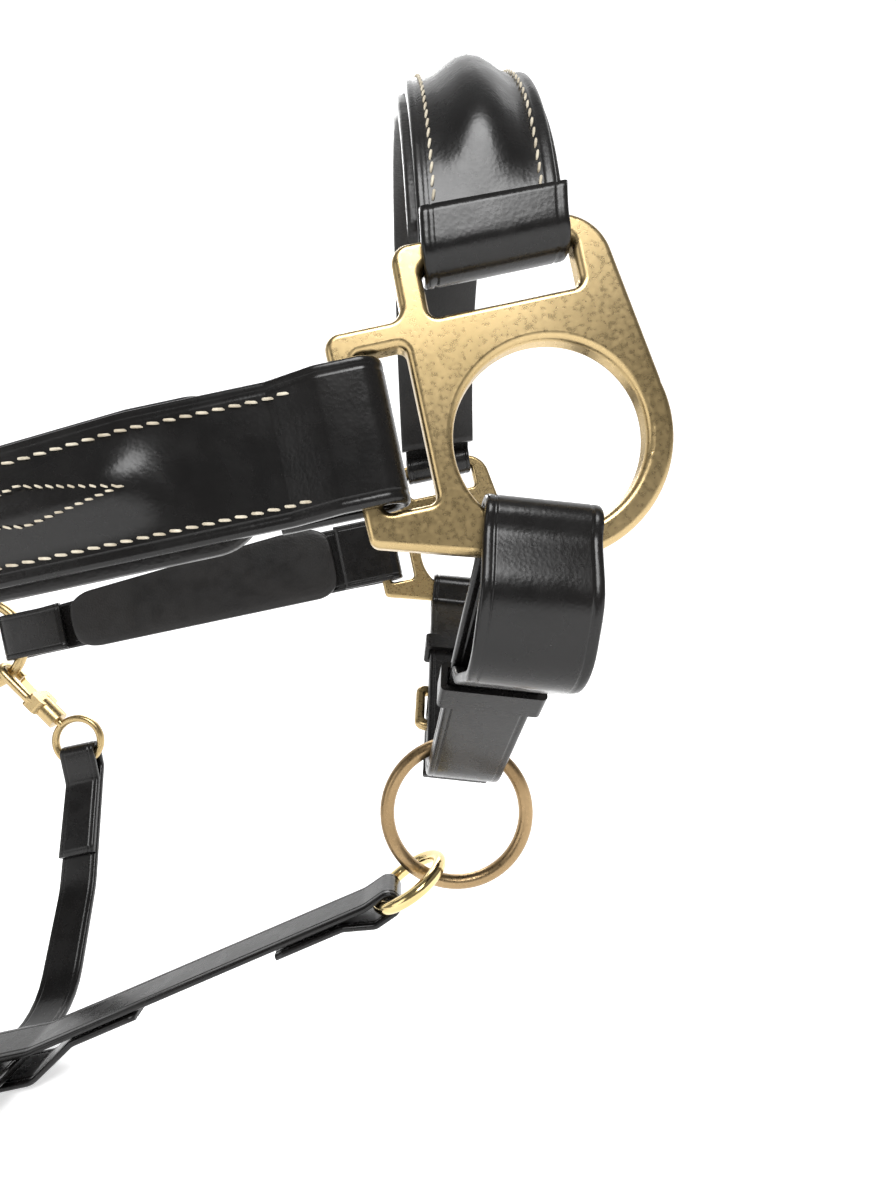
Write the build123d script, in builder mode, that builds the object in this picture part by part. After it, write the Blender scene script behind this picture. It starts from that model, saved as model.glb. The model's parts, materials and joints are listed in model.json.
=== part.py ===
"""Leather headcollar with cast brass nose fittings, laid out as it sits on a horse's head.

+X points to the muzzle along the cheekpieces, +Y to the horse's left and +Z to the forehead.
The origin is the middle of the crown's inner face, where it rests on the poll.
"""
import os
from math import cos, hypot, radians, sin, sqrt

from build123d import *

os.makedirs("parts", exist_ok=True)

# Driving dimensions, in millimetres
nose_x, nose_z = 415.0, -140.0    # centre of each nose fitting's round ring
half_span = 88.0                  # each side of the headcollar lies at Y = +-half_span
upper_x, upper_z = 164.0, -136.0  # centre of each upper ring
leather, gap = 2.8, 0.25          # thickness of the straps, and play between layers
cast = 5.5                        # thickness of the cast nose fittings
ring_in, ring_out = 21.0, 27.0    # round ring of a nose fitting
nose_width, cheek_end_width, lining_width = 32.0, 23.0, 36.0
chin_width, throat_width, jowl_width = 25.4, 17.0, 18.0
nose_tip, chin_tip = 9.0, 18.0    # the nose arch leans forward and the chin strap back, in degrees
upper_mid, upper_wire = 21.5, 2.5  # rings: radius of the wire's centre, and of the wire
lead_mid, lead_wire = 25.4, 2.6
link_mid, link_wire = 13.6, 2.3
half, row = leather / 2, leather + gap  # half a layer, and the spacing of two layers


def save(part, name):
    part.label = name
    export_step(part, f"parts/{name}.step")


def both_sides(part, name):
    """Writes the right-hand piece, and its mirror image for the left."""
    save(part, f"{name}_right")
    save(part.mirror(Plane.XZ), f"{name}_left")


def band(plane, points, radii, width, thickness=leather):
    """A strap of even thickness whose middle follows points in plane, each corner rounded by its radius."""
    path = [Vector(*point) for point in points]
    ways = [(b - a).normalized() for a, b in zip(path, path[1:])]
    outline = []
    for side in (1, -1):
        edge = []
        for before, corner, after, radius in zip(ways[:1] + ways, path, ways + ways[-1:], [0.8, *radii, 0.8]):
            across = Vector(-before.Y - after.Y, before.X + after.X) / (1 + before.dot(after))
            turn = before.cross(after).Z
            bend = radius - side * thickness / 2 * (turn > 0) + side * thickness / 2 * (turn < 0)
            edge.append((corner + across * side * thickness / 2, bend))
        outline += edge[::side]
    with BuildPart(mode=Mode.PRIVATE) as strap:
        with BuildSketch(plane):
            with BuildLine():
                FilletPolyline(
                    *(corner for corner, _ in outline), radius=[bend for _, bend in outline], close=True,
                )
            make_face()
        extrude(amount=width / 2, both=True)
    return strap.part


def lens(width, height, base):
    """A low crowned section that stands on the line y = base."""
    with BuildSketch(mode=Mode.PRIVATE) as section:
        with BuildLine():
            ThreePointArc((-width / 2, base), (0, base + height), (width / 2, base))
            Line((width / 2, base), (-width / 2, base))
        make_face()
    return section.sketch


def torus(plane, middle, wire):
    with BuildPart(mode=Mode.PRIVATE) as ring:
        with Locations(plane):
            Torus(middle, wire)
    return ring.part


def arch_section(centre, normal, arc):
    """The plane where a section starts an arc about normal that is centred over the top."""
    up = normal.cross(Vector(0, 1, 0))
    start = Vector(0, sin(radians(arc / 2)), 0) + up * cos(radians(arc / 2))
    return Plane(centre, x_dir=normal, z_dir=normal.cross(start))


def chord(radius, width):
    """Distance from a ring's centre to where a strap of that width meets the radius."""
    return sqrt(radius**2 - (width / 2) ** 2)


# ---- Nose fittings: a round ring with a slot above for the noseband and one behind for the cheek
slot_left, slot_right, slot_low, slot_high = -20.0, 13.5, 30.5, 41.8
top_bar = 47.3
rear_bar, rear_post, rear_low, rear_high = -38.6, -26.6, -9.0, 25.8
with BuildPart() as nose_fitting:
    with BuildSketch(Plane((nose_x, -half_span, nose_z), x_dir=(1, 0, 0), z_dir=(0, -1, 0))):
        with BuildLine():
            FilletPolyline(
                (-25.8, top_bar), (19.8, top_bar), (26.6, 4.5), (0, 0), (-10, -25.2), (-43, -15.5),
                (-44, 31.5), (-26.2, 31.5), radius=[4, 12, 3, 3, 2.5, 2.5, 3.5, 3], close=True,
            )
        make_face()
        Circle(ring_out)
        Circle(ring_in, mode=Mode.SUBTRACT)
        with Locations(((slot_left + slot_right) / 2, (slot_low + slot_high) / 2)):
            RectangleRounded(slot_right - slot_left, slot_high - slot_low, 2, mode=Mode.SUBTRACT)
        with Locations(((rear_bar + rear_post) / 2, (rear_low + rear_high) / 2)):
            RectangleRounded(rear_post - rear_bar, rear_high - rear_low, 2, mode=Mode.SUBTRACT)
    extrude(amount=cast / 2, both=True)
    flat_faces = nose_fitting.faces().filter_by(Axis.Y)
    fillet(flat_faces.edges(), 1.6)
both_sides(nose_fitting.part, "nose_fitting")

# ---- Noseband: domed leather over a filler on a padded lining, rolled round each top bar
arch_mid, bar_mid = (slot_left + slot_right) / 2, (slot_high + top_bar) / 2
bar_reach = cast / 2 + gap + half      # from a bar's middle to the middle of the leather round it
lean = Vector(cos(radians(nose_tip)), 0, -sin(radians(nose_tip)))
arch_centre = Vector(nose_x + arch_mid, 0, nose_z + bar_mid)
arch_axis = Axis(arch_centre, lean)
dome_width, dome_height = 22.0, 3.4
roll_low = slot_high - gap - half - 0.35
outer_arc, filler_arc, lining_arc = 172, 160, 169
outer_base = half_span - 3.4
with BuildPart() as noseband_outer:
    with BuildSketch(arch_section(arch_centre, lean, outer_arc)):
        with Locations((0, outer_base + half)):
            Rectangle(nose_width, leather)
        add(lens(dome_width, dome_height, outer_base + leather))
        add(lens(dome_width, dome_height, outer_base), mode=Mode.SUBTRACT)
    revolve(axis=arch_axis, revolution_arc=outer_arc)
    for side in (-1, 1):
        inner, outer = side * (half_span - bar_reach), side * (half_span + bar_reach)
        add(band(
            Plane((nose_x + arch_mid, 0, nose_z), x_dir=(0, 1, 0), z_dir=(1, 0, 0)),
            [
                (side * (outer_base + half - 0.55), bar_mid + 11),
                (side * (outer_base + half - 0.55), bar_mid + 6),
                (inner, bar_mid + 3), (inner, roll_low), (outer, roll_low),
                (outer, top_bar + 4.5),
            ],
            [2.5, 2.5, bar_reach - 0.02, bar_reach - 0.02], nose_width - 1, leather - 0.3,
        ))
save(noseband_outer.part, "noseband_outer")

with BuildPart() as noseband_filler:
    with BuildSketch(arch_section(arch_centre, lean, filler_arc)):
        add(lens(dome_width - 0.6, dome_height - 0.2, outer_base))
    revolve(axis=arch_axis, revolution_arc=filler_arc)
save(noseband_filler.part, "noseband_filler")

lining = 4.2
with BuildPart() as noseband_lining:
    with BuildSketch(arch_section(arch_centre, lean, lining_arc)):
        with Locations((0, outer_base - 0.3 - lining / 2)):
            RectangleRounded(lining_width, lining, 1.8)
    revolve(axis=arch_axis, revolution_arc=lining_arc)
save(noseband_lining.part, "noseband_lining")

# ---- Cheekpieces, along X from the rear bar of the nose fitting to the upper ring
cheek_z = nose_z + (rear_low + rear_high) / 2
upper_reach = upper_wire + gap + half
ring_fold = upper_x + chord(upper_mid - upper_wire, cheek_end_width) - gap - half - 0.3
nose_fold = nose_x + rear_bar + 5.0
cheek_points = [
    (nose_x - 62, bar_reach), (nose_fold, bar_reach), (nose_fold, -bar_reach), (nose_x - 47, -bar_reach),
    (nose_x - 58, -half - 0.1), (ring_fold + 17, -half - 0.1), (ring_fold + 9, -upper_reach),
    (ring_fold, -upper_reach), (ring_fold, upper_reach), (ring_fold + 32, upper_reach),
]
fold_nose, fold_ring = bar_reach - 0.02, upper_reach - 0.02
with BuildPart() as cheek_shape:  # the side outline that tapers the strap towards the upper ring
    with BuildSketch(Plane.XZ):
        with BuildLine():
            Polyline(
                (nose_x, cheek_z + nose_width / 2), (nose_x - 90, cheek_z + nose_width / 2),
                (upper_x + 36, upper_z + cheek_end_width / 2), (upper_x, upper_z + cheek_end_width / 2),
                (upper_x, upper_z - cheek_end_width / 2), (upper_x + 36, upper_z - cheek_end_width / 2),
                (nose_x - 90, cheek_z - nose_width / 2), (nose_x, cheek_z - nose_width / 2), close=True,
            )
        make_face()
    extrude(amount=half_span + 20)
dome_from, dome_to = nose_x - 82, upper_x + 52
cheek_middle = Plane((dome_from, -half_span, cheek_z - 1.2), x_dir=(0, 0, 1), z_dir=(1, 0, 0))
with BuildPart() as cheek_outer:
    add(band(
        Plane((0, -half_span, cheek_z)), cheek_points,
        [fold_nose, fold_nose, 4, 4, 4, 4, fold_ring, fold_ring], 44,
    ))
    add(cheek_shape.part, mode=Mode.INTERSECT)
    with BuildSketch(cheek_middle):
        add(lens(dome_width - 3, dome_height, leather + 0.1))
    extrude(amount=dome_to - dome_from)
    with BuildSketch(cheek_middle):
        add(lens(dome_width - 3, dome_height, 0.1))
    extrude(amount=dome_to - dome_from, mode=Mode.SUBTRACT)
both_sides(cheek_outer.part, "cheekpiece_outer")

with BuildPart() as cheek_filler:
    with BuildSketch(cheek_middle):
        add(lens(dome_width - 3.6, dome_height - 0.2, 0.1))
    extrude(amount=dome_to - dome_from)
both_sides(cheek_filler.part, "cheekpiece_filler")

lining_from, lining_to = nose_x - 65, ring_fold + 36
with BuildPart() as cheek_lining:
    with BuildSketch(Plane.XZ.offset(half_span - 0.1 - lining)):
        with BuildLine():
            Polyline(
                (lining_from, cheek_z + 18), (nose_x - 95, cheek_z + 18), (lining_to, upper_z + 14.5),
                (lining_to, upper_z - 14.5), (nose_x - 95, cheek_z - 18), (lining_from, cheek_z - 18),
                close=True,
            )
        make_face()
    extrude(amount=lining)
    fillet(cheek_lining.edges().group_by(Axis.Y)[-1], 1.5)
both_sides(cheek_lining.part, "cheekpiece_lining")

# ---- Upper rings, that join cheekpiece, crown and throatlatch
upper_plane = Plane((upper_x, -half_span, upper_z), x_dir=(1, 0, 0), z_dir=(0, -1, 0))
upper_ring = torus(upper_plane, upper_mid, upper_wire)
both_sides(upper_ring, "upper_ring")


# ---- Buckles, each in a plane with x to the end bar, y across the strap and z outwards
frame_length, frame_bar = 20.0, 4.0
eye_in, eye_out, prong, prong_width = 2.9, 4.4, 2.2, 3.4


def buckle_frame(plane):
    with BuildPart(mode=Mode.PRIVATE) as frame:
        with BuildSketch(plane):
            with Locations((frame_length / 2, 0)):
                RectangleRounded(frame_length + frame_bar, chin_width + 9.6, 4)
                RectangleRounded(frame_length - frame_bar, chin_width + 1.6, 1.5, mode=Mode.SUBTRACT)
        extrude(amount=frame_bar / 2, both=True)
        faces = frame.faces().sort_by(Axis(plane.origin, plane.z_dir))
        fillet(faces[0].edges() + faces[-1].edges(), 1.5)
    return frame.part


def buckle_tongue(plane):
    """An eye that turns on the pivot bar, and a flat prong whose tip lies on the end bar."""
    rest = frame_bar / 2 + 0.15 + prong / 2
    with BuildPart(mode=Mode.PRIVATE) as tongue:
        with BuildSketch(Plane(plane.origin, x_dir=plane.x_dir, z_dir=-plane.y_dir)):
            Circle(eye_out)
            with BuildLine():
                FilletPolyline((2.5, 0.5), (10, rest), (frame_length + 4, rest), radius=8)
                offset(amount=prong / 2, side=Side.BOTH)
            make_face()
            Circle(eye_in, mode=Mode.SUBTRACT)
        extrude(amount=prong_width / 2, both=True)
    return tongue.part


def buckle_slots(plane, depth):
    """The slot that clears the eye through the folded end, and the hole that lets the prong through."""
    with BuildPart(mode=Mode.PRIVATE) as slots:
        with BuildSketch(plane.offset(-depth)):
            SlotCenterToCenter(2 * eye_out, prong_width + 1.4)
        extrude(amount=2 * depth)
        with BuildSketch(plane.offset(-1)):
            with Locations((9, 0)):
                SlotOverall(11, prong_width + 1.4)
        extrude(amount=12)
    return slots.part


def keeper(plane, low, high, length):
    """A leather loop round the layers between heights low and high, length wide along the strap."""
    inside, wall = chin_width + 1.0, 1.8
    with BuildPart(mode=Mode.PRIVATE) as loop:
        with BuildSketch(plane):
            with Locations((0, (low + high) / 2)):
                RectangleRounded(inside + 2 * wall, high - low + 2 * wall, 1.6)
                Rectangle(inside, high - low, mode=Mode.SUBTRACT)
        extrude(amount=length / 2, both=True)
    return loop.part


# ---- Chin strap: one strap round both nose rings, buckled on the left, in a leaning plane
lean_down = Vector(-sin(radians(chin_tip)), 0, -cos(radians(chin_tip)))
chin = Plane(
    Vector(nose_x, 0, nose_z) + lean_down * (ring_in + ring_out) / 2,
    x_dir=(0, 1, 0), z_dir=Vector(0, 1, 0).cross(-lean_down),
)
chin_drop, v_turn = 72.0, 15.0         # depth of the V below the rings, and the radius of its foot
slope = Vector(half_span, chin_drop).normalized()
loop_top = (ring_in + ring_out) / 2 - chord(ring_in, chin_width) + gap + half + 0.3
chin_reach = bar_reach + 0.05
leg_in, leg_out = half_span - chin_reach, half_span + chin_reach


def left(s, h=0.0):
    """A point of the chin strap's left half: s up the slope from the V's foot, h outwards."""
    return (s * slope.X + h * slope.Y, -chin_drop + s * slope.Y - h * slope.X)


def right(s, h=0.0):
    y, up = left(s, h)
    return (-y, up)


def chin_plane(point, x_way, z_way):
    """A plane at a point of the chin strap, its x and z axes given by points seen from it."""
    at, x_to, z_to = (chin.from_local_coords((*spot, 0)) for spot in (point, x_way, z_way))
    return Plane(at, x_dir=x_to - at, z_dir=z_to - at)


chape_turn = frame_bar / 2 + gap + half + 0.1
pivot_at, pivot_height = 30.0, row + chape_turn
chape_out = pivot_height + chape_turn
billet_out = chape_out + row
end_inner = pivot_at + frame_length - frame_bar
chin_points = [
    left(pivot_at - 9, chape_out), left(pivot_at + chape_turn, chape_out), left(pivot_at + chape_turn, row),
    (0, -chin_drop - row / slope.X),
    right(70, row), (-65, -32), (-95, -29), (-98.5, -11), (-leg_out, 2),
    (-leg_out, loop_top), (-leg_in, loop_top),
    right(leg_in / slope.X), (0, -chin_drop), left(leg_in / slope.X),
    (leg_in, loop_top), (leg_out, loop_top), (leg_out, -6), left(94, row),
    left(end_inner, row), left(pivot_at + 3, billet_out), left(pivot_at - 20, billet_out),
]
chin_radii = [
    chape_turn - 0.02, chape_turn - 0.02, v_turn + row, 5, 8, 11, 12, 8, chin_reach - 0.02, chin_reach - 0.02,
    5, v_turn, 5, chin_reach - 0.02, chin_reach - 0.02, 5, 8, 4, 4,
]
chin_buckle = chin_plane(
    left(pivot_at, pivot_height), left(pivot_at + 1, pivot_height), left(pivot_at, pivot_height + 1),
)
with BuildPart() as chin_strap:
    add(band(chin, chin_points, chin_radii, chin_width))
    add(buckle_slots(chin_buckle, row + half + gap + 0.5), mode=Mode.SUBTRACT)
save(chin_strap.part, "chin_strap")
save(buckle_frame(chin_buckle), "chin_buckle_frame")
save(buckle_tongue(chin_buckle), "chin_buckle_tongue")

keeper_low, keeper_high = -half - gap, row + half + gap
for name, spot, at in (("chin_keeper_left", left, 73), ("chin_keeper_right", right, 60)):
    start = chin.from_local_coords((*spot(at), 0))
    out = chin.from_local_coords((*spot(at, 1), 0)) - start
    save(keeper(Plane(start, x_dir=chin.z_dir, z_dir=chin.z_dir.cross(out)), keeper_low, keeper_high, 9), name)

# ---- Lead ring in the foot of the V, and the link ring that joins it to the jowl strap
foot_top = -chin_drop + v_turn * (1 / slope.X - 1) + half
lead_drop = foot_top - sqrt((lead_mid - lead_wire - gap) ** 2 - (chin_width / 2) ** 2)
lead_centre = chin.from_local_coords((0, lead_drop, 0))
save(torus(Plane(lead_centre, x_dir=(1, 0, 0), z_dir=(0, -1, 0)), lead_mid, lead_wire), "lead_ring")

link_way = Vector(-cos(radians(22.5)), 0, -sin(radians(22.5)))  # from the lead ring to the jowl strap
link_up = Vector(link_way.Z, 0, -link_way.X)
link_near = lead_centre + Vector(-9.7, 0, -15.9)
link_centre = link_near + link_way * link_mid
save(torus(Plane(link_centre, x_dir=(0, 1, 0), z_dir=link_up), link_mid, link_wire), "link_ring")

# ---- Throatlatch: from the right upper ring under the jaw and up to the snap's eye on the left
snap_way = Vector(0.5447, 0, -0.8386)  # along the snap, from the upper ring to the throatlatch
eye_mid, eye_wire, eye_drop = 11.5, 1.8, 48.5
ring_spot = Vector(upper_x, half_span, upper_z) + snap_way * upper_mid
eye_centre = ring_spot + snap_way * eye_drop
throat_foot = eye_centre.Z - 103.3
right_way = Vector(eye_centre.X - upper_x, 0, throat_foot - upper_z)
near_drop = right_way.length
ring_bite = chord(upper_mid - upper_wire, throat_width) - gap - half
eye_bite = chord(eye_mid - eye_wire, throat_width) - gap - half
eye_reach = eye_wire + gap + half
with BuildPart() as throatlatch:
    add(band(
        Plane((upper_x, 0, upper_z), x_dir=(0, 1, 0), z_dir=Vector(0, 1, 0).cross(-right_way)),
        [
            (-85.8, -62), (-88.2, -33), (-half_span + upper_reach, -24), (-half_span + upper_reach, -ring_bite),
            (-half_span - upper_reach, -ring_bite), (-half_span - upper_reach, -26), (-86, -100),
            (-50, -near_drop), (0, -near_drop),
        ],
        [8, 8, upper_reach - 0.02, upper_reach - 0.02, 20, 60, 60], throat_width,
    ))
    add(band(
        Plane((eye_centre.X, 0, eye_centre.Z), x_dir=(0, 1, 0), z_dir=(1, 0, 0)),
        [
            (66.5, -51.8), (half_span - eye_reach, -20.7), (half_span - eye_reach, -eye_bite),
            (half_span + eye_reach, -eye_bite), (half_span + eye_reach, -15), (62, -66),
            (30, -103.3), (0, -103.3),
        ],
        [6, eye_reach - 0.02, eye_reach - 0.02, 6, 40, 30], throat_width,
    ))
save(throatlatch.part, "throatlatch")

# ---- Jowl strap: folded round the link ring at the front and the throatlatch at the back
jowl = 2.2
jowl_reach = link_wire + gap + jowl / 2
link_bite = chord(link_mid - link_wire, jowl_width) - gap - jowl / 2


def past_link(along, up):
    spot = link_centre + link_way * along + link_up * up
    return (spot.X, spot.Z)


back_x, back_up = eye_centre.X - throat_width / 2 - 3.7, 5.1
save(band(
    Plane.XZ,
    [
        (308, -277.9), (333, -273.0), past_link(17, -jowl_reach), past_link(link_bite, -jowl_reach),
        past_link(link_bite, jowl_reach), past_link(17, jowl_reach), (back_x + 25, throat_foot + back_up),
        (back_x, throat_foot + back_up), (back_x, throat_foot - back_up),
        (back_x + 24.5, throat_foot - back_up), (back_x + 41, -292.7), (back_x + 65, -288.0),
    ],
    [4, 4, jowl_reach - 0.02, jowl_reach - 0.02, 12, 12, back_up - 0.02, back_up - 0.02, 6, 6],
    jowl_width, jowl,
), "jowl_strap")

# ---- Trigger snap: the hook's plane holds the snap's length and Y
snap = Plane(ring_spot, x_dir=(0, 1, 0), z_dir=Vector(0, 1, 0).cross(-snap_way))
hook_wire, hook_mid = 2.25, 5.5
barrel_low, barrel_high = -34.0, -22.0
stud, stud_head, head_height = 2.0, 3.2, 2.2
with BuildPart() as snap_hook:
    with BuildLine(snap) as hook_line:
        FilletPolyline(
            (-0.5, -24), (-hook_mid, -17), (-hook_mid, 5), (hook_mid, 5), (hook_mid, -3.5),
            radius=[4, hook_mid - 0.02, hook_mid - 0.02],
        )
    with BuildSketch(Plane(hook_line.line @ 0, z_dir=hook_line.line % 0)):
        Circle(hook_wire)
    sweep(path=hook_line.line)
    with BuildSketch(snap):
        with Locations((0.5, -20.5)):
            RectangleRounded(14, 9, 2.5)
    extrude(amount=3.6, both=True)
    with Locations(snap * Location((0, (barrel_low + barrel_high) / 2, 0), (90, 0, 0))):
        Cylinder(5, barrel_high - barrel_low)
    with BuildSketch(snap):
        with Locations((7, -17)):
            Rectangle(12, 17)
    extrude(amount=1.9, both=True, mode=Mode.SUBTRACT)
    with Locations(snap * Location((4.5, -20, 0))):
        Cylinder(1.02, 20, mode=Mode.SUBTRACT)
    with Locations(snap * Location((0, barrel_low, 0), (90, 0, 0))):
        Cylinder(stud + 0.06, 12, mode=Mode.SUBTRACT)
    with Locations(snap * Location((0, barrel_low + 5.5, 0), (90, 0, 0))):
        Cylinder(stud_head + 0.1, 3, mode=Mode.SUBTRACT)
save(snap_hook.part, "snap_hook")

with BuildPart() as snap_gate:
    with BuildSketch(snap):
        with BuildLine():
            FilletPolyline((4.5, -20), (4.5, -14), (hook_mid, -5.6), radius=6)
            offset(amount=1.7, side=Side.BOTH)
        make_face()
        with Locations((4.5, -20)):
            Circle(2.2)
            Circle(1.08, mode=Mode.SUBTRACT)
    extrude(amount=1.75, both=True)
save(snap_gate.part, "snap_gate")

with BuildPart() as snap_pin:
    with Locations(snap * Location((4.5, -20, 0))):
        Cylinder(1.0, 7.6)
save(snap_pin.part, "snap_pin")

with BuildPart() as snap_eye:
    with Locations(Plane(eye_centre, x_dir=(1, 0, 0), z_dir=(0, -1, 0))):
        Torus(eye_mid, eye_wire)
    with Locations(snap * Location((0, (barrel_low + 5 - eye_drop + eye_mid) / 2, 0), (90, 0, 0))):
        Cylinder(stud, barrel_low + 5 + eye_drop - eye_mid)
    with Locations(snap * Location((0, barrel_low + 5.5, 0), (90, 0, 0))):
        Cylinder(stud_head, head_height)
save(snap_eye.part, "snap_eye")

# ---- Crown, over the poll in the plane of the two upper rings
crown_up = Vector(-upper_x, 0, -upper_z).normalized()
crown = Plane((0, 0, 0), x_dir=(0, 1, 0), z_dir=Vector(0, 1, 0).cross(crown_up))
ring_level = -hypot(upper_x, upper_z)
pivot_level = ring_level + 40
end_level = pivot_level + frame_length
strap_at = half_span - frame_bar / 2 - gap - half
poll_radius = strap_at - half - 4.2
arch_level = -poll_radius
crown_out = half_span + upper_reach + row
with BuildPart() as crown_strap:
    with BuildSketch(crown):
        with Locations((0, arch_level)):
            Circle(strap_at + half)
            Circle(strap_at - half, mode=Mode.SUBTRACT)
            with Locations((0, -100)):
                Rectangle(300, 200, mode=Mode.SUBTRACT)
    extrude(amount=chin_width / 2, both=True)
    for side in (-1, 1):
        add(band(
            crown,
            [
                (side * strap_at, arch_level), (side * strap_at, end_level - frame_bar),
                (side * crown_out, pivot_level + 3), (side * crown_out, pivot_level - 28),
            ],
            [4, 4], chin_width,
        ))
        buckle_at = Plane(
            crown.from_local_coords((side * half_span, pivot_level, 0)), x_dir=crown_up, z_dir=(0, side, 0),
        )
        add(buckle_slots(buckle_at, 5.65), mode=Mode.SUBTRACT)
save(crown_strap.part, "crown_strap")

pad_arc = 150
arch_middle = crown.from_local_coords((0, arch_level, 0))
with BuildPart() as crown_padding:
    with BuildSketch(arch_section(arch_middle, crown.z_dir, pad_arc)):
        with Locations((0, poll_radius + 2)):
            RectangleRounded(34, 4, 1.6)
    revolve(axis=Axis(arch_middle, crown.z_dir), revolution_arc=pad_arc)
save(crown_padding.part, "crown_padding")

right_buckle = Plane(
    crown.from_local_coords((-half_span, pivot_level, 0)), x_dir=crown_up, z_dir=(0, -1, 0),
)
chape_low = ring_level + chord(upper_mid - upper_wire, chin_width) - gap - half
with BuildPart() as crown_chape:
    with BuildSketch(crown):
        with Locations((-half_span, (chape_low + pivot_level + chape_turn) / 2)):
            RectangleRounded(
                2 * upper_reach + leather, pivot_level + chape_turn - chape_low + leather,
                upper_reach + half - 0.02,
            )
            RectangleRounded(
                2 * upper_reach - leather, pivot_level + chape_turn - chape_low - leather,
                upper_reach - half - 0.02,
                mode=Mode.SUBTRACT,
            )
    extrude(amount=chin_width / 2, both=True)
    add(buckle_slots(right_buckle, 5.65), mode=Mode.SUBTRACT)
both_sides(crown_chape.part, "crown_chape")
both_sides(buckle_frame(right_buckle), "crown_buckle")
both_sides(buckle_tongue(right_buckle), "crown_tongue")
both_sides(keeper(
    Plane(
        crown.from_local_coords((-half_span, pivot_level - 9.5, 0)), x_dir=crown.z_dir,
        z_dir=crown.z_dir.cross(Vector(0, -1, 0)),
    ),
    -upper_reach - half - gap, upper_reach + row + half + gap, 8,
), "crown_keeper")
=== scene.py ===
"""The looks of a leather headcollar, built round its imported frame.

Lengths are in millimetres until a mesh is made, which turns them into metres.
"""

import json
import math

import bmesh
import bpy
from mathutils import Matrix, Vector


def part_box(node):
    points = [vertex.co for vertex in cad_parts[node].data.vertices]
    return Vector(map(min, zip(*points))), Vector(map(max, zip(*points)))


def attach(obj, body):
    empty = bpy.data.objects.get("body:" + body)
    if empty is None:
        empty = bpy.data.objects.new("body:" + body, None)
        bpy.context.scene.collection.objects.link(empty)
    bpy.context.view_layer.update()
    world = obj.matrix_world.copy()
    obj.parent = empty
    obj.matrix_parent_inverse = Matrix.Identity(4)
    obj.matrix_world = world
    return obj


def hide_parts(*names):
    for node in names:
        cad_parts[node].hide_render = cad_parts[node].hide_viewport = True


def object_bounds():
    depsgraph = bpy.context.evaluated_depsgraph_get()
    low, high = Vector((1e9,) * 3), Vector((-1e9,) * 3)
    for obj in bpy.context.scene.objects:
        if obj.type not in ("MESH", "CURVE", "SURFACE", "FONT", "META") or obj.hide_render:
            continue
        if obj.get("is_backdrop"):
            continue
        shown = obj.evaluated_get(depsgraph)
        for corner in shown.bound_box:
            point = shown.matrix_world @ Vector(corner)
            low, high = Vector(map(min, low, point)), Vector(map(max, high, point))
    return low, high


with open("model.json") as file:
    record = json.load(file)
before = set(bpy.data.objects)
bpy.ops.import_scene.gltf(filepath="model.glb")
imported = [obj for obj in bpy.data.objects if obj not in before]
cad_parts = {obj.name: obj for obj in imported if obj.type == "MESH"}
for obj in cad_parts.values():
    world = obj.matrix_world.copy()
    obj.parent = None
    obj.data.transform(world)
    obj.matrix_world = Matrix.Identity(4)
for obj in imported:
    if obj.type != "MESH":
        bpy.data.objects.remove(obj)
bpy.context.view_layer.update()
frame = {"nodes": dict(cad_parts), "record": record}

MM = 0.001
X, Y, Z = Vector((1, 0, 0)), Vector((0, 1, 0)), Vector((0, 0, 1))


def middle(node):
    """The middle of a CAD node's box, in millimetres."""
    low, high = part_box(node)
    return (low + high) / (2 * MM)


# Driving dimensions, shared with the CAD
NOSE = Vector((415, 0, -140))
UPPER = middle("upper_ring_right")
SPAN = 88.0
LEATHER, GAP = 2.8, 0.25
HALF, ROW = LEATHER / 2, LEATHER + GAP
NOSE_TIP, CHIN_TIP = math.radians(9), math.radians(18)
SLOT_MID, SLOT_HIGH, TOP_BAR = -3.25, 41.8, 47.3
BAR_HALF, UPPER_WIRE, EYE_WIRE, LINK_WIRE = 2.75, 2.5, 1.8, 2.3
BAR_REACH, RING_REACH = BAR_HALF + GAP + HALF, UPPER_WIRE + GAP + HALF
NOSE_HALF_WIDTH, CHEEK_HALF_WIDTH, STRAP_HALF_WIDTH = 16.0, 11.4, 12.7
THROAT_HALF_WIDTH, JOWL_HALF_WIDTH = 8.5, 9.0
STITCH_LIFT = 0.25


def fold(reach):
    """The bend radius of a strap's fold round a bar: a hair less than half of the fold's width."""
    return reach - 0.02


def ease(share):
    """A smooth rise from 0 to 1, flat at both ends and beyond them."""
    held = min(1.0, max(0.0, share))
    return held * held * (3 - 2 * held)


# ---- Paths and straps
def rounded(points, radii, step=3.0):
    """Points along a polyline whose inner corners are rounded, each with its direction."""
    pts = [Vector(p) for p in points]
    out = [pts[0]]
    for i, radius in enumerate(radii, 1):
        before, after = (pts[i] - pts[i - 1]).normalized(), (pts[i + 1] - pts[i]).normalized()
        turn = before.angle_signed(after, 0)
        reach = radius * math.tan(abs(turn) / 2)
        start = pts[i] - before * reach
        count = max(2, int(abs(turn) / math.radians(9)))
        centre = start + Vector((before.y, -before.x)) * radius * (1 if turn > 0 else -1)
        arm = start - centre
        for k in range(count + 1):
            angle = -turn * k / count
            out.append(centre + Vector((
                arm.x * math.cos(angle) - arm.y * math.sin(angle),
                arm.x * math.sin(angle) + arm.y * math.cos(angle),
            )))
    out.append(pts[-1])
    dense = [out[0]]
    for a, b in zip(out, out[1:]):
        length = (b - a).length
        if length < 1e-4:
            continue
        parts = max(1, int(length / step))
        dense += [a.lerp(b, (k + 1) / parts) for k in range(parts)]
    return dense


def directions(path):
    """The way the path runs at each of its points."""
    ways = []
    for i in range(len(path)):
        a, b = path[max(0, i - 1)], path[min(len(path) - 1, i + 1)]
        ways.append((b - a).normalized())
    return ways


def lengths(path):
    """The distance run along the path at each of its points."""
    total, out = 0.0, [0.0]
    for a, b in zip(path, path[1:]):
        total += (b - a).length
        out.append(total)
    return out


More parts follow.
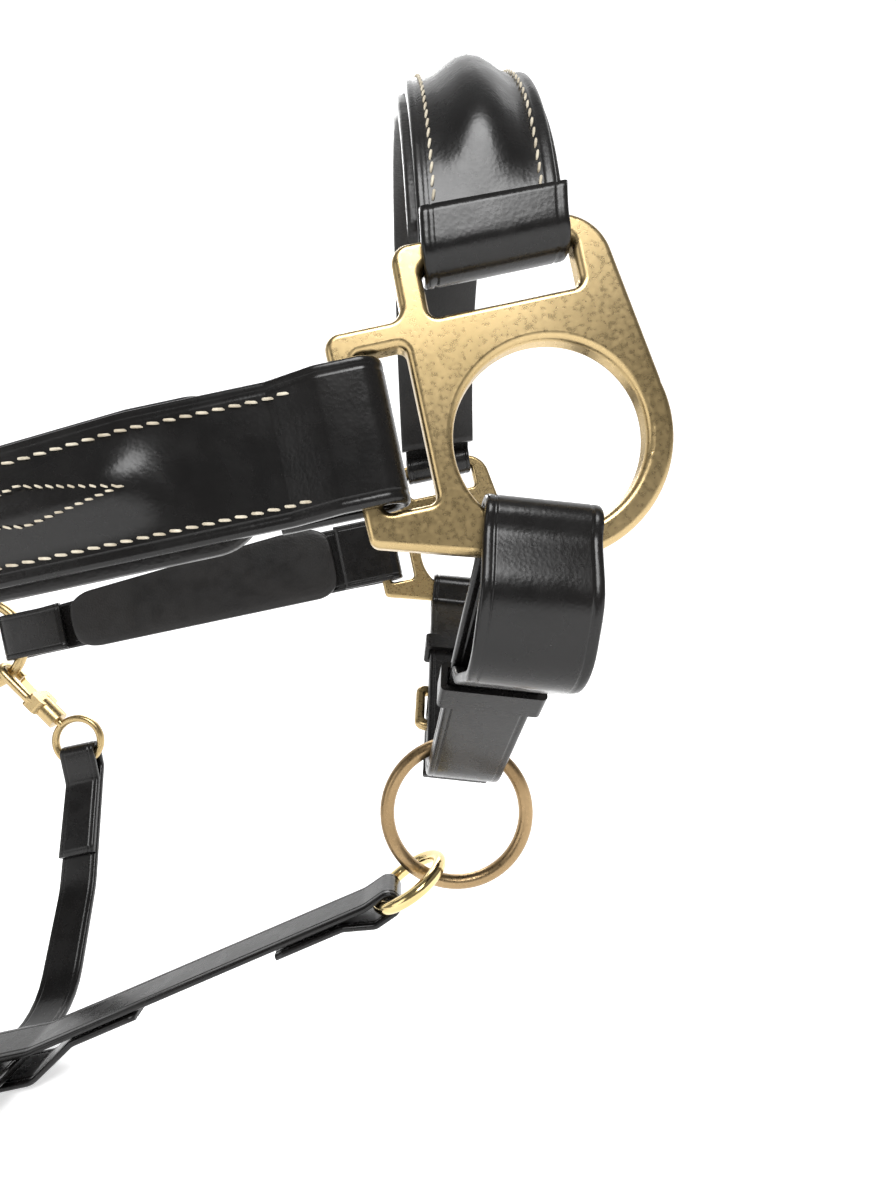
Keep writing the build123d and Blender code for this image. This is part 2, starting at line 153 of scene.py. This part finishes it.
def make_mesh(name, verts, faces, material, body="headcollar"):
    """A visible piece that rides on a body."""
    mesh = bpy.data.meshes.new(name)
    mesh.from_pydata([v * MM for v in verts], [], faces)
    mesh.validate()
    mesh.shade_smooth()
    mesh.materials.append(material)
    obj = bpy.data.objects.new(name, mesh)
    bpy.context.scene.collection.objects.link(obj)
    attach(obj, body)
    return obj


EDGE_ROUND, EDGE_START = 0.9, 0.95
CREASE_INSET, CREASE_HALF, CREASE_DEPTH, EDGE_DROP = 2.4, 0.55, 0.3, 0.02


def profile(half_width, half_thick, crease):
    """Half of a strap's section, from its middle to its rounded edge, as (across, height)."""
    if crease:
        top = [(half_width * share, half_thick) for share in (0, 0.18, 0.36, 0.54, 0.7, 0.8)]
        line = half_width - CREASE_INSET
        top += [
            (line - CREASE_HALF, half_thick), (line, half_thick - CREASE_DEPTH),
            (line + CREASE_HALF, half_thick), (half_width - EDGE_START, half_thick - EDGE_DROP),
        ]
    else:
        top = [(half_width * share, half_thick) for share in (0, 0.2, 0.4, 0.6, 0.8)]
        top.append((half_width - EDGE_START, half_thick))
    for angle in (math.radians(30 * k) for k in range(1, 4)):
        top.append((
            half_width - EDGE_ROUND + EDGE_ROUND * math.sin(angle),
            half_thick - EDGE_ROUND + EDGE_ROUND * math.cos(angle),
        ))
    return sorted(top, key=lambda p: (p[0], -p[1]))


DOME_SHARE, DOME_POWER = 0.69, 1.6


def strap(
    name, path, place, half_width, material, thickness=LEATHER, dome=None, side=1, crease=True, pillow=0.0,
):
    """A strap along a flat path.

    For a path point, place gives the spot in space, the path plane's two directions and the way across
    the strap. dome lifts the middle of the outer face, and pillow swells the inner one.
    """
    ways, runs = directions(path), lengths(path)
    rings = []
    for point, way, run in zip(path, ways, runs):
        half = half_width(point) if callable(half_width) else half_width
        half_section = profile(half, thickness / 2, crease)
        spot, first, second, across = place(point)
        normal = (first * -way.y + second * way.x).normalized() * side
        lift = dome(run, runs[-1], point) if dome else 0.0
        outer, inner = [], []
        for x, h in half_section:
            fall = max(0.0, 1 - (x / (half * DOME_SHARE)) ** 2) ** DOME_POWER
            puff = pillow * max(0.0, 1 - (x / half) ** 2) ** 0.5
            outer.append((x, h + lift * fall))
            inner.append((x, -h - puff))
        ring = [(-x, h) for x, h in reversed(outer[1:])] + outer
        ring += [(x, h) for x, h in reversed(inner)] + [(-x, h) for x, h in inner[1:]]
        rings.append([spot + across * x + normal * h for x, h in ring])
    count = len(rings[0])
    verts = [v for ring in rings for v in ring]
    faces = []
    for i in range(len(rings) - 1):
        for j in range(count):
            k = (j + 1) % count
            faces.append((i * count + j, i * count + k, (i + 1) * count + k, (i + 1) * count + j))
    faces.append(tuple(reversed(range(count))))
    faces.append(tuple(range(len(verts) - count, len(verts))))
    obj = make_mesh(name, verts, faces, material)
    face_outwards(obj)
    return obj


def face_outwards(obj):
    """Turns every face outwards."""
    work = bmesh.new()
    work.from_mesh(obj.data)
    bmesh.ops.recalc_face_normals(work, faces=work.faces)
    work.to_mesh(obj.data)
    work.free()
    obj.data.shade_smooth()


STITCH_SIDES, STITCH_SLANT = 6, 0.5
STITCH_RINGS = (
    (-0.5, 0.35, -0.30), (-0.36, 0.9, 0.05), (0, 1.0, 0.05), (0.36, 0.9, 0.05), (0.5, 0.35, -0.30),
)


def stitch(spot, normal, way, long, thick):
    """One stitch's points: rings at shares of its length, each with its thickness and how high it lies."""
    cross = way.cross(normal).normalized()
    points = []
    for share, fullness, rise in STITCH_RINGS:
        for k in range(STITCH_SIDES):
            angle = 2 * math.pi * k / STITCH_SIDES
            points.append(
                spot + way * share * long + normal * (rise + math.sin(angle) * thick * fullness)
                + cross * (math.cos(angle) * thick * fullness + share * STITCH_SLANT)
            )
    return points


def stitch_faces(base):
    """The faces of one stitch whose points start at number base."""
    faces = []
    for ring in range(base, base + (len(STITCH_RINGS) - 1) * STITCH_SIDES, STITCH_SIDES):
        for k in range(STITCH_SIDES):
            n = (k + 1) % STITCH_SIDES
            faces.append((ring + k, ring + n, ring + STITCH_SIDES + n, ring + STITCH_SIDES + k))
    last = base + (len(STITCH_RINGS) - 1) * STITCH_SIDES
    faces.append(tuple(base + k for k in reversed(range(STITCH_SIDES))))
    faces.append(tuple(last + k for k in range(STITCH_SIDES)))
    return faces


def stitches(name, rows, long=2.7, thick=0.36, pitch=3.6):
    """Short raised stitches along rows of (point, normal) pairs."""
    verts, faces = [], []
    for row in rows:
        travelled, following = 0.0, pitch * 0.5
        for (a, na), (b, nb) in zip(row, row[1:]):
            length = (b - a).length
            while length > 0 and following <= travelled + length:
                t = (following - travelled) / length
                faces += stitch_faces(len(verts))
                verts += stitch(a.lerp(b, t), na.lerp(nb, t).normalized(), (b - a).normalized(), long, thick)
                following += pitch
            travelled += length
    face_outwards(make_mesh(name, verts, faces, THREAD))


def seam(path, place, across, height, side=1, margin=0.0):
    """A row of (point, normal) on a strap's outer face, which keeps a margin from both ends of its path."""
    runs, ways, row = lengths(path), directions(path), []
    for point, way, run in zip(path, ways, runs):
        if margin <= run <= runs[-1] - margin:
            spot, first, second, wide = place(point)
            normal = (first * -way.y + second * way.x).normalized() * side
            offset = across(point) if callable(across) else across
            row.append((spot + wide * offset + normal * height, normal))
    return row


# ---- Materials
def shader(name, colour, metallic, rough, coat=0.0, coat_rough=0.2, specular=0.5):
    """A plain material, with its nodes, links, main shader and object coordinates."""
    material = bpy.data.materials.new(name)
    material.use_nodes = True
    nodes, links = material.node_tree.nodes, material.node_tree.links
    main = nodes["Principled BSDF"]
    main.inputs["Base Color"].default_value = (*colour, 1)
    main.inputs["Metallic"].default_value = metallic
    main.inputs["Roughness"].default_value = rough
    main.inputs["Coat Weight"].default_value = coat
    main.inputs["Coat Roughness"].default_value = coat_rough
    main.inputs["Specular IOR Level"].default_value = specular
    where = nodes.new("ShaderNodeTexCoord").outputs["Object"]
    return material, nodes, links, main, where


def noise(nodes, links, where, scale, detail=3.0):
    """Cloudy noise from 0 to 1."""
    texture = nodes.new("ShaderNodeTexNoise")
    texture.inputs["Scale"].default_value = scale
    texture.inputs["Detail"].default_value = detail
    links.new(where, texture.inputs["Vector"])
    return texture.outputs["Fac"]


def spread(nodes, links, value, low, high):
    """Noise stretched to run from low to high."""
    ranged = nodes.new("ShaderNodeMapRange")
    ranged.inputs["From Min"].default_value = 0.3
    ranged.inputs["From Max"].default_value = 0.7
    ranged.inputs["To Min"].default_value = low
    ranged.inputs["To Max"].default_value = high
    links.new(value, ranged.inputs["Value"])
    return ranged.outputs["Result"]


def blend_colour(nodes, links, value, first, second):
    """Two colours mixed by noise."""
    ramp = nodes.new("ShaderNodeValToRGB")
    ramp.color_ramp.elements[0].position, ramp.color_ramp.elements[1].position = 0.35, 0.68
    ramp.color_ramp.elements[0].color, ramp.color_ramp.elements[1].color = (*first, 1), (*second, 1)
    links.new(value, ramp.inputs["Fac"])
    return ramp.outputs["Color"]


def bump(nodes, links, main, heights):
    """Adds bumps one over another: (height, strength, distance in metres)."""
    last = None
    for height, strength, distance in heights:
        node = nodes.new("ShaderNodeBump")
        node.inputs["Strength"].default_value = strength
        node.inputs["Distance"].default_value = distance
        links.new(height, node.inputs["Height"])
        if last:
            links.new(last, node.inputs["Normal"])
        last = node.outputs["Normal"]
    links.new(last, main.inputs["Normal"])


def leather(name, dark, light, rough, grain, coat):
    """Black leather: a cloudy tint, a fine pebbled grain and a thin waxed coat."""
    material, nodes, links, main, where = shader(
        name, dark, 0.0, sum(rough) / 2, coat, coat_rough=0.12, specular=0.32,
    )
    broad = noise(nodes, links, where, 38, 4)
    links.new(blend_colour(nodes, links, broad, dark, light), main.inputs["Base Color"])
    links.new(spread(nodes, links, noise(nodes, links, where, 160, 3), *rough), main.inputs["Roughness"])
    cells = nodes.new("ShaderNodeTexVoronoi")
    cells.inputs["Scale"].default_value = 1100
    links.new(where, cells.inputs["Vector"])
    bump(nodes, links, main, [
        (broad, 0.10, 0.0012), (cells.outputs["Distance"], grain, 0.00022),
        (noise(nodes, links, where, 420, 3), grain, 0.0003),
    ])
    return material


def brass(name, dark, light, rough, brushed):
    """Brass with a cloudy tarnish and fine scratches."""
    material, nodes, links, main, where = shader(name, light, 1.0, sum(rough) / 2)
    broad = noise(nodes, links, where, 28, 1.5)
    fine = noise(nodes, links, where, 900, 4)
    links.new(blend_colour(nodes, links, broad, dark, light), main.inputs["Base Color"])
    links.new(spread(nodes, links, fine, *rough), main.inputs["Roughness"])
    bump(nodes, links, main, [(broad, 0.12, 0.0010), (fine, brushed, 0.00012)])
    return material


def thread(name, dark, light):
    """Waxed linen thread with a rough twist."""
    material, nodes, links, main, where = shader(name, light, 0.0, 0.75)
    twist = noise(nodes, links, where, 300)
    links.new(blend_colour(nodes, links, twist, dark, light), main.inputs["Base Color"])
    bump(nodes, links, main, [(noise(nodes, links, where, 1500), 0.5, 0.0002)])
    return material


BLACK = leather(
    "black_leather", (0.0040, 0.0037, 0.0036), (0.0075, 0.0068, 0.0065),
    rough=(0.22, 0.32), grain=0.10, coat=0.12,
)
LINING = leather(
    "lining_leather", (0.0055, 0.0050, 0.0048), (0.011, 0.0098, 0.0092),
    rough=(0.34, 0.48), grain=0.30, coat=0.05,
)
CAST = brass("cast_brass", (0.42, 0.31, 0.15), (0.52, 0.39, 0.20), rough=(0.24, 0.36), brushed=0.10)
ANTIQUE = brass("antique_brass", (0.24, 0.16, 0.08), (0.40, 0.28, 0.15), rough=(0.24, 0.40), brushed=0.10)
POLISHED = brass("polished_brass", (0.62, 0.47, 0.20), (0.78, 0.62, 0.32), rough=(0.10, 0.20), brushed=0.05)
THREAD = thread("cream_thread", (0.46, 0.40, 0.30), (0.72, 0.66, 0.53))

SLOTS = {
    "black_leather": BLACK, "lining_leather": LINING, "felt_filler": LINING,
    "cast_brass": CAST, "antique_brass": ANTIQUE, "polished_brass": POLISHED,
}
for entry in frame["record"]["subparts"]:
    node = frame["nodes"][entry["node"]]
    node.data.materials.clear()
    node.data.materials.append(SLOTS[entry["material_slot"]])


# ---- Noseband: a path in (Y, height) whose arch leans forward
ARCH_FOOT = (SLOT_HIGH + TOP_BAR) / 2
ARC_START, ARC_PARTS = math.radians(4), 90
LEAN_START, LEAN_LENGTH = 4, 16
arch_centre = NOSE + X * SLOT_MID + Z * ARCH_FOOT
arch_up = Vector((math.sin(NOSE_TIP), 0, math.cos(NOSE_TIP)))
arch_wide = Vector((math.cos(NOSE_TIP), 0, -math.sin(NOSE_TIP)))


def on_noseband(point):
    """Below the foot the band hangs straight down, and above it the band turns with the leaning arch."""
    height = point.y - ARCH_FOOT
    blend = min(1.0, max(0.0, (height - LEAN_START) / LEAN_LENGTH))
    wide = X.lerp(arch_wide, blend).normalized()
    if height > 0:
        return arch_centre + Y * point.x + arch_up * height, Y, arch_up, wide
    return arch_centre + Y * point.x + Z * height, Y, Z, wide


def noseband_path(radius, foot_height, roll):
    """Over the arch from the right (-Y) to the left, with a roll round each top bar when asked."""
    arch = [
        Vector((-radius * math.cos(a), ARCH_FOOT + radius * math.sin(a)))
        for a in (ARC_START + (math.pi - 2 * ARC_START) * k / ARC_PARTS for k in range(ARC_PARTS + 1))
    ]
    if not roll:
        return [p for p in arch if p.y >= foot_height]
    low = SLOT_HIGH - GAP - HALF - 0.35
    inner, outer = SPAN - BAR_REACH, SPAN + BAR_REACH
    foot = rounded(
        [
            (-outer, TOP_BAR + 4.5), (-outer, low), (-inner, low), (-inner, ARCH_FOOT + 2),
            (arch[0].x, arch[0].y),
        ],
        [fold(BAR_REACH), fold(BAR_REACH), 3], 1.5,
    )
    other = [Vector((-p.x, p.y)) for p in reversed(foot)]
    return foot + arch[1:-1] + other


NOSE_RISE, RISE_START, RISE_LENGTH = 4.2, 30, 26
NOSE_SEAM, SEAM_MARGIN = 12.0, 34


def noseband_dome(run, total, _):
    """The raised middle, which fades out before each roll."""
    return NOSE_RISE * ease((min(run, total - run) - RISE_START) / RISE_LENGTH)


outer_radius = SPAN - 3.4 + HALF
nose_path = noseband_path(outer_radius, 0, True)
noseband = strap("noseband_leather", nose_path, on_noseband, NOSE_HALF_WIDTH, BLACK, dome=noseband_dome)
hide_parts("noseband_outer", "noseband_filler")
stitches("noseband_stitching", [
    seam(nose_path, on_noseband, side * NOSE_SEAM, HALF + STITCH_LIFT, margin=SEAM_MARGIN) for side in (-1, 1)
])

LINING_BELOW = 2.3
lining_path = noseband_path(outer_radius - HALF - LINING_BELOW, ARCH_FOOT + 8, False)
noseband_lining = strap(
    "noseband_padding", lining_path, on_noseband, NOSE_HALF_WIDTH + 2, LINING,
    thickness=3.6, crease=False, pillow=0.9,
)
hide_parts("noseband_lining")

# ---- Cheekpieces: a path in (X, outward) for each side
CHEEK_Z = NOSE.z + 8.4
nose_fold, ring_fold = NOSE.x - 33.6, UPPER.x + 13.17
TAPER_START, TAPER_END = NOSE.x - 90, UPPER.x + 36
CHEEK_RISE, CHEEK_RISE_LENGTH = 3.6, 16
FACE_LIFT = HALF + 0.1
END_ROUND = 12.0


def cheek_height(x):
    """The cheekpiece's height and half width: past the raised part it narrows and drops to the upper ring."""
    t = min(1.0, max(0.0, (TAPER_START - x) / (TAPER_START - TAPER_END)))
    return CHEEK_Z + (UPPER.z - CHEEK_Z) * t, NOSE_HALF_WIDTH + (CHEEK_HALF_WIDTH - NOSE_HALF_WIDTH) * t


def cheek_width(point):
    """The cheekpiece's half width at a path point."""
    return cheek_height(point.x)[1]


def cheek_dome(_, __, point):
    """The raised middle of the outer face, which fades out before each end."""
    if point.y < 0:
        return 0.0
    return CHEEK_RISE * ease(min(NOSE.x - 80 - point.x, point.x - UPPER.x - 50) / CHEEK_RISE_LENGTH)


cheek_path = rounded(
    [
        (NOSE.x - 62, -BAR_REACH), (nose_fold, -BAR_REACH), (nose_fold, BAR_REACH), (NOSE.x - 47, BAR_REACH),
        (NOSE.x - 58, FACE_LIFT), (ring_fold + 17, FACE_LIFT), (ring_fold + 9, RING_REACH),
        (ring_fold, RING_REACH), (ring_fold, -RING_REACH), (ring_fold + 32, -RING_REACH),
    ],
    [fold(BAR_REACH), fold(BAR_REACH), 4, 4, 4, 4, fold(RING_REACH), fold(RING_REACH)], 2.5,
)
cheek_face = [p for p in cheek_path if ring_fold + 20 < p.x < NOSE.x - 52 and p.y > 0]
padding_path = [Vector((x, -LINING_BELOW)) for x in range(int(ring_fold) + 37, int(NOSE.x) - 64)]


def padding_width(point):
    """The padding's half width, rounded off at both ends."""
    inside = min(point.x - padding_path[0].x, padding_path[-1].x - point.x, END_ROUND) / END_ROUND
    return (cheek_width(point) + 2) * (0.45 + 0.55 * math.sqrt(1 - (1 - inside) ** 2))


def diamond(side):
    """The outline of the small stitched diamond on the raised middle, as (point, normal)."""
    surface = side * (SPAN + FACE_LIFT + HALF + CHEEK_RISE - 0.1)
    tip, wide, back = NOSE.x - 91.6, NOSE.x - 113, NOSE.x - 134
    corners = ((tip, -1), (wide, 3.4), (back, -1.5), (wide, -5.2), (tip, -1))
    return [(Vector((x, surface, CHEEK_Z + rise)), Y * side) for x, rise in corners]


for side, word in ((-1, "right"), (1, "left")):
    def on_cheek(point, side=side):
        return Vector((point.x, side * (SPAN + point.y), cheek_height(point.x)[0])), X, Y * side, Z

    cheek = strap(
        f"cheekpiece_leather_{word}", cheek_path, on_cheek, cheek_width, BLACK, dome=cheek_dome, side=-1,
    )
    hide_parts(f"cheekpiece_outer_{word}", f"cheekpiece_filler_{word}")
    stitches(f"cheek_stitching_{word}", [
        seam(cheek_face, on_cheek, lambda p, edge=edge: edge * (cheek_width(p) - 4.2), HALF + STITCH_LIFT, -1)
        for edge in (-1, 1)
    ])
    stitches(f"cheek_diamond_{word}", [diamond(side)], long=1.7, thick=0.28, pitch=2.3)
    padding = strap(
        f"cheekpiece_padding_{word}", padding_path, on_cheek, padding_width, LINING,
        thickness=3.4, crease=False, pillow=0.8,
    )
    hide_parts(f"cheekpiece_lining_{word}")

# ---- Chin strap: one long strap, folded round both rings and buckled on the left
chin_up = Vector((math.sin(CHIN_TIP), 0, math.cos(CHIN_TIP)))
chin_wide = Y.cross(chin_up)
chin_origin = NOSE - chin_up * 24
DROP, FOOT_TURN = 72.0, 15.0
slope = Vector((SPAN, DROP)).normalized()


def left(s, h=0.0):
    """A point s along the left leg from the foot and h outside it, as (across, up)."""
    return (s * slope.x + h * slope.y, -DROP + s * slope.y - h * slope.x)


def right(s, h=0.0):
    """The same point on the right leg."""
    across, up = left(s, h)
    return (-across, up)


def on_chin(point):
    """The chin strap's plane, which leans back below the muzzle."""
    return chin_origin + Y * point.x + chin_up * point.y, Y, chin_up, chin_wide


chape_turn = 2 + GAP + HALF + 0.1
pivot_height = ROW + chape_turn
chape_out = pivot_height + chape_turn
billet_out = chape_out + ROW
loop_top = 24 - math.sqrt(21 ** 2 - STRAP_HALF_WIDTH ** 2) + GAP + HALF + 0.3
chin_reach = BAR_REACH + 0.05
leg_in, leg_out = SPAN - chin_reach, SPAN + chin_reach
chin_path = rounded(
    [
        left(21, chape_out), left(30 + chape_turn, chape_out), left(30 + chape_turn, ROW),
        (0, -DROP - ROW / slope.x), right(70, ROW), (-65, -32), (-95, -29), (-98.5, -11), (-leg_out, 2),
        (-leg_out, loop_top), (-leg_in, loop_top), right(leg_in / slope.x), (0, -DROP),
        left(leg_in / slope.x), (leg_in, loop_top), (leg_out, loop_top), (leg_out, -6), left(94, ROW),
        left(46, ROW), left(33, billet_out), left(10, billet_out),
    ],
    [
        fold(chape_turn), fold(chape_turn), FOOT_TURN + ROW, 5, 8, 11, 12, 8, fold(chin_reach),
        fold(chin_reach), 5, FOOT_TURN, 5, fold(chin_reach), fold(chin_reach), 5, 8, 4, 4,
    ],
    2.0,
)
chin = strap("chin_strap_leather", chin_path, on_chin, STRAP_HALF_WIDTH, BLACK)
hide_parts("chin_strap")

# ---- Throatlatch: two planes that meet under the jaw
snap_way = Vector((0.5447, 0, -0.8386))
SNAP_REACH = 21.5 + 48.5
eye = Vector((UPPER.x, SPAN, UPPER.z)) + snap_way * SNAP_REACH
THROAT_DROP = 103.3
BLEND_HALF = 14
foot = Vector((eye.x, 0, eye.z - THROAT_DROP))
near_top = Vector((UPPER.x, 0, UPPER.z))
near_up = (near_top - foot).normalized()
near_drop = (near_top - foot).length


def on_throatlatch(point):
    """Heights are measured up from the foot, in the right-hand plane for -Y and the left-hand one for +Y."""
    blend = ease((point.x + BLEND_HALF) / (2 * BLEND_HALF))
    up = near_up.lerp(Z, blend).normalized()
    wide = Y.cross(near_up).lerp(X, blend).normalized()
    return foot + Y * point.x + up * point.y, Y, up, wide


ring_bite = math.sqrt(19 ** 2 - THROAT_HALF_WIDTH ** 2) - GAP - HALF
eye_bite = math.sqrt(9.7 ** 2 - THROAT_HALF_WIDTH ** 2) - GAP - HALF
eye_reach = EYE_WIRE + GAP + HALF
near = [
    (-85.8, -62), (-88.2, -33), (-SPAN + RING_REACH, -24), (-SPAN + RING_REACH, -ring_bite),
    (-SPAN - RING_REACH, -ring_bite), (-SPAN - RING_REACH, -26), (-86, -100), (-50, -near_drop),
]
far = [
    (30, -THROAT_DROP), (62, -66), (SPAN + eye_reach, -15), (SPAN + eye_reach, -eye_bite),
    (SPAN - eye_reach, -eye_bite), (SPAN - eye_reach, -20.7), (66.5, -51.8),
]
throat_path = rounded(
    [(y, h + near_drop) for y, h in near] + [(y, h + THROAT_DROP) for y, h in far],
    [8, 8, fold(RING_REACH), fold(RING_REACH), 20, 60, 60, 30, 40, 6, fold(eye_reach), fold(eye_reach), 6],
)
throat = strap("throatlatch_leather", throat_path, on_throatlatch, THROAT_HALF_WIDTH, BLACK)
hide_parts("throatlatch")

# ---- Jowl strap
JOWL = 2.2
JOWL_SLOPE = math.radians(22.5)
link_way = Vector((-math.cos(JOWL_SLOPE), 0, -math.sin(JOWL_SLOPE)))
link_up = Vector((link_way.z, 0, -link_way.x))
link_centre = middle("link_ring")
jowl_reach = LINK_WIRE + GAP + JOWL / 2
link_bite = math.sqrt(11.3 ** 2 - JOWL_HALF_WIDTH ** 2) - GAP - JOWL / 2


def past_link(along, up):
    """A point in (X, Z), measured from the link ring's centre along the jowl strap and up from it."""
    spot = link_centre + link_way * along + link_up * up
    return (spot.x, spot.z)


def on_middle(point):
    """The headcollar's plane of symmetry."""
    return Vector((point.x, 0, point.y)), X, Z, Y


back_x, back_up = eye.x - THROAT_HALF_WIDTH - 3.7, 5.1
jowl_path = rounded(
    [
        (308, -277.9), (333, -273.0), past_link(17, -jowl_reach), past_link(link_bite, -jowl_reach),
        past_link(link_bite, jowl_reach), past_link(17, jowl_reach), (back_x + 25, foot.z + back_up),
        (back_x, foot.z + back_up), (back_x, foot.z - back_up), (back_x + 24.5, foot.z - back_up),
        (back_x + 41, -292.7), (back_x + 65, -288.0),
    ],
    [4, 4, fold(jowl_reach), fold(jowl_reach), 12, 12, fold(back_up), fold(back_up), 6, 6],
)
jowl = strap("jowl_strap_leather", jowl_path, on_middle, JOWL_HALF_WIDTH, BLACK, thickness=JOWL, side=-1)
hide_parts("jowl_strap")

# ---- Crown: up from both upper rings and over the poll
crown_up = Vector((-UPPER.x, 0, -UPPER.z)).normalized()
crown_wide = Y.cross(crown_up)
ring_level = -math.hypot(UPPER.x, UPPER.z)
pivot_level = ring_level + 40
strap_at = SPAN - 2 - GAP - HALF
poll_radius = strap_at - HALF - 4.2
crown_out = SPAN + RING_REACH + ROW
CROWN_PAD_HALF_WIDTH, PAD_START, PAD_SEAM_INSET = 17.0, 15, 1.4


def on_crown(point):
    """The crown's plane, which runs from the upper rings to the poll."""
    return Y * point.x + crown_up * point.y, Y, crown_up, crown_wide


def crown_arch(radius, first):
    """The arc over the poll, from an angle in degrees on the right to the same angle on the left."""
    angles = [math.radians(first + (180 - 2 * first) * k / ARC_PARTS) for k in range(ARC_PARTS + 1)]
    return [Vector((-radius * math.cos(a), -poll_radius + radius * math.sin(a))) for a in angles]


crown_leg = rounded(
    [
        (-crown_out, pivot_level - 28), (-crown_out, pivot_level + 3), (-strap_at, pivot_level + 16),
        (-strap_at, -poll_radius),
    ],
    [4, 4],
)
other_leg = [Vector((-p.x, p.y)) for p in reversed(crown_leg)]
crown_path = crown_leg + crown_arch(strap_at, 0)[1:-1] + other_leg
crown = strap("crown_leather", crown_path, on_crown, STRAP_HALF_WIDTH, BLACK)
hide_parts("crown_strap")

pad_path = crown_arch(poll_radius + 2, PAD_START)
crown_pad = strap(
    "crown_padding_soft", pad_path, on_crown, CROWN_PAD_HALF_WIDTH, LINING,
    thickness=3.2, crease=False, pillow=0.6,
)
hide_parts("crown_padding")
pad_seam = CROWN_PAD_HALF_WIDTH - PAD_SEAM_INSET
stitches("crown_stitching", [
    seam(pad_path, on_crown, side * pad_seam, 1.6 + STITCH_LIFT, margin=4) for side in (-1, 1)
])

# ---- CAD leather trim gets softened edges
for trim in ("crown_chape", "crown_keeper", "chin_keeper"):
    for word in ("right", "left"):
        soft = frame["nodes"][f"{trim}_{word}"].modifiers.new("soft_edges", "BEVEL")
        soft.width, soft.segments, soft.limit_method = 0.5 * MM, 3, "ANGLE"

# ---- Stage
low, high = (Vector(corner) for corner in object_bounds())
FLOOR_GAP = 2 * MM
level = low.z - FLOOR_GAP


def sheet(name, corners, material):
    """A flat four-cornered piece of the stage."""
    mesh = bpy.data.meshes.new(name)
    mesh.from_pydata(corners, [], [(0, 1, 2, 3)])
    mesh.materials.append(material)
    obj = bpy.data.objects.new(name, mesh)
    bpy.context.scene.collection.objects.link(obj)
    obj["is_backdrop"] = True


def paper(name, glow):
    """White paper that glows a little, so that the set stays free of grey."""
    material, _, _, main, _ = shader(name, (0.85, 0.85, 0.85), 0.0, 0.9)
    main.inputs["Emission Color"].default_value = (1, 1, 1, 1)
    main.inputs["Emission Strength"].default_value = glow
    return material


FLOOR_GLOW, PAPER_GLOW = 0.6, 0.8
REACH, BACK = 14.0, 3.5
sheet(
    "floor",
    [(-REACH, -REACH, level), (REACH, -REACH, level), (REACH, REACH, level), (-REACH, REACH, level)],
    paper("floor_paper", FLOOR_GLOW),
)
sheet(
    "backdrop",
    [(-REACH, BACK, level), (REACH, BACK, level), (REACH, BACK, REACH), (-REACH, BACK, REACH)],
    paper("backdrop_paper", PAPER_GLOW),
)

world = bpy.data.worlds.new("studio")
bpy.context.scene.world = world
world.use_nodes = True
world.node_tree.nodes["Background"].inputs["Color"].default_value = (1.0, 1.0, 1.0, 1)
world.node_tree.nodes["Background"].inputs["Strength"].default_value = 0.22


def softbox(name, place, target, size, power):
    """A round soft light that faces the target."""
    light = bpy.data.lights.new(name, "AREA")
    light.shape, light.size, light.energy = "DISK", size, power
    lamp = bpy.data.objects.new(name, light)
    lamp.location = place
    lamp.rotation_euler = (Vector(target) - Vector(place)).to_track_quat("-Z", "Y").to_euler()
    bpy.context.scene.collection.objects.link(lamp)


centre = (low + high) / 2
softbox("key", centre + Vector((0.35, -0.9, 0.9)), centre, 0.7, 13)
softbox("fill", centre + Vector((-0.9, -0.7, 0.3)), centre, 0.9, 3.5)
softbox("rim", centre + Vector((0.2, 0.9, 0.9)), centre, 0.8, 10)

# ---- Camera: square to the headcollar's side, and turned 12 degrees from the cheekpieces
TILT = math.radians(12)
FOCAL_LENGTH, SENSOR = 18.075, 36.0
SHIFT_SIDEWAYS, SHIFT_UP = 0.04268, 0.03013
camera_right = Vector((math.cos(TILT), 0, -math.sin(TILT)))
camera_up = Vector((math.sin(TILT), 0, math.cos(TILT)))
lens = bpy.data.cameras.new("camera")
lens.sensor_fit, lens.sensor_width, lens.lens = "AUTO", SENSOR, FOCAL_LENGTH
lens.shift_x, lens.shift_y = SHIFT_SIDEWAYS, SHIFT_UP
lens.clip_start = 0.01
camera = bpy.data.objects.new("camera", lens)
stand = Vector((373.65, -220.0, -174.87)) * MM
turned = Matrix((camera_right, camera_up, -Y)).transposed().to_4x4()
camera.matrix_world = Matrix.Translation(stand) @ turned
bpy.context.scene.collection.objects.link(camera)
bpy.context.scene.camera = camera
bpy.context.scene.view_settings.view_transform = "Standard"
